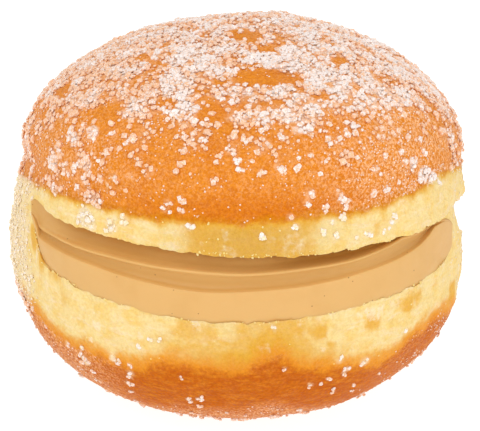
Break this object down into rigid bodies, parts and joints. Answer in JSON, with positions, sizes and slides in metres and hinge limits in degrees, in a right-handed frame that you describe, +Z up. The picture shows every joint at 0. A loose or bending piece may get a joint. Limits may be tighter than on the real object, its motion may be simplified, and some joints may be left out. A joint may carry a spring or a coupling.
{
  "type": "filled doughnut",
  "caption": "Round sugar-coated doughnut, slit open from the front and filled with smooth caramel cream. Free-standing, rests on a small flat spot underneath.",
  "frame": {"origin": "centre of the small flat spot under the bun, on the ground", "axes": "Z up, the shortest way through the bun; -Y is the open front where the cream shows; X runs across the opening"},
  "size_m": [0.0913, 0.0879, 0.0745],
  "materials": {
    "sugared_crust": "golden-brown fried crust with a pale ring and coarse sugar",
    "caramel_cream": "smooth satin caramel cream"
  },
  "bodies": {
    "root": {"bun": "sugared_crust", "cream": "caramel_cream"}
  },
  "joints": []
}
